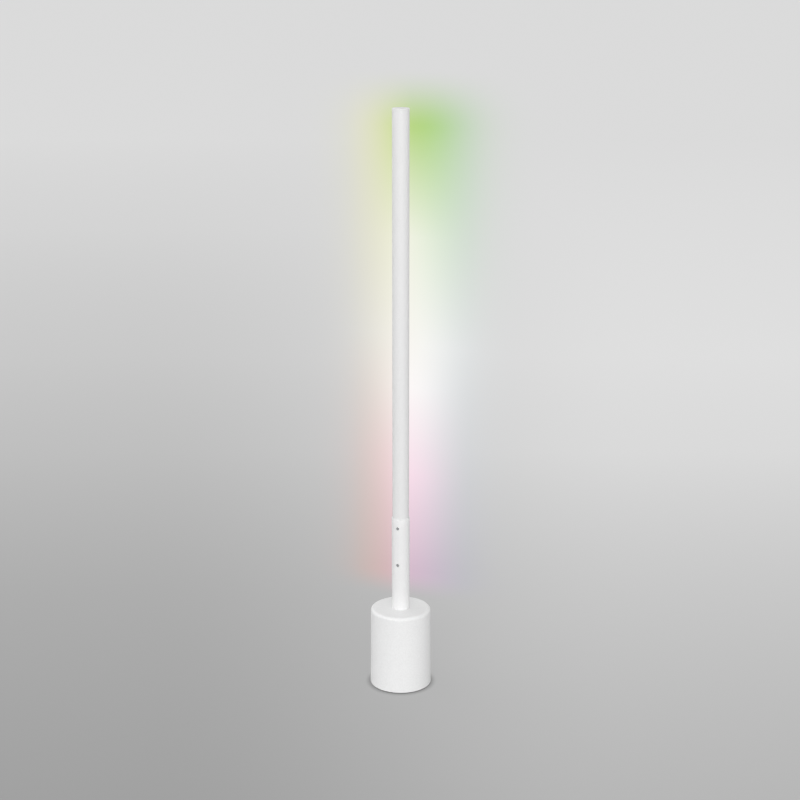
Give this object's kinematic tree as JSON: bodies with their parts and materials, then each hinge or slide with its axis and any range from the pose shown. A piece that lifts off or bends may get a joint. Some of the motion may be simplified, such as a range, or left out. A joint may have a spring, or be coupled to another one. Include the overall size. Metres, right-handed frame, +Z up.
{
  "type": "corner floor lamp",
  "caption": "Slim white light pole in a plain sleeve on a weighted cylindrical base, shining coloured light backwards into a corner.",
  "frame": {"origin": "centre of the foot ring's underside, on the floor", "axes": "+Z up along the pole, -Y out of the front where the two sleeve screws are, +Y out of the back where the light shines"},
  "size_m": [0.12, 0.12, 1.133],
  "materials": {
    "white_shell": "moulded, painted satin white",
    "white_sleeve_coat": "steel tube, satin white powder coat",
    "white_pole_coat": "aluminium extrusion under a satin white powder coat",
    "white_cap": "moulded satin white",
    "opal_diffuser": "extruded opal polycarbonate, lit from inside",
    "foot_rubber": "moulded black rubber",
    "zinc_steel": "zinc-plated sheet steel",
    "turned_steel": "turned steel",
    "screw_steel": "stainless steel screws",
    "cast_iron": "sand-cast, dipped in black primer",
    "nipple_brass": "turned brass",
    "bare_aluminium": "sawn and drilled aluminium bar",
    "strip_board": "white solder mask on a metal-core strip",
    "light_chip": "light chips in white frames",
    "black_component": "moulded black resin",
    "ivory_nylon": "moulded natural nylon",
    "plated_contact": "nickel or tin plate",
    "white_lead": "white PVC jacket",
    "black_lead": "black PVC jacket",
    "green_board": "green solder mask on glass-fibre laminate",
    "blue_terminal": "moulded blue nylon",
    "capacitor_sleeve": "dark shrink sleeve on aluminium cans"
  },
  "bodies": {
    "root": {"foot_ring": "foot_rubber", "base_plate": "zinc_steel", "plate_screws": "screw_steel", "ballast": "cast_iron", "inner_frame": "zinc_steel", "frame_screws": "screw_steel", "base_shell": "white_shell", "threaded_nipple": "nipple_brass", "nipple_washer": "zinc_steel", "nipple_nut": "zinc_steel", "lead_grommet": "foot_rubber", "sleeve_foot": "turned_steel", "sleeve": "white_sleeve_coat", "light_pole": "white_pole_coat", "anchor_block": "bare_aluminium", "pole_screws": "screw_steel", "light_strip": "strip_board", "light_chips": "light_chip", "segment_chips": "black_component", "strip_connector": "ivory_nylon", "diffuser": "opal_diffuser", "top_cap": "white_cap", "strip_lead": "white_lead", "power_inlet": "black_component", "inlet_pin": "plated_contact", "inlet_tags": "plated_contact", "inlet_nut": "plated_contact", "input_lead": "black_lead", "board_spacers": "nipple_brass", "controller_board": "green_board", "board_screws": "screw_steel", "input_terminal": "blue_terminal", "output_terminal": "ivory_nylon", "radio_module": "plated_contact", "capacitors": "capacitor_sleeve", "choke": "black_component", "power_switches": "black_component"}
  },
  "joints": []
}
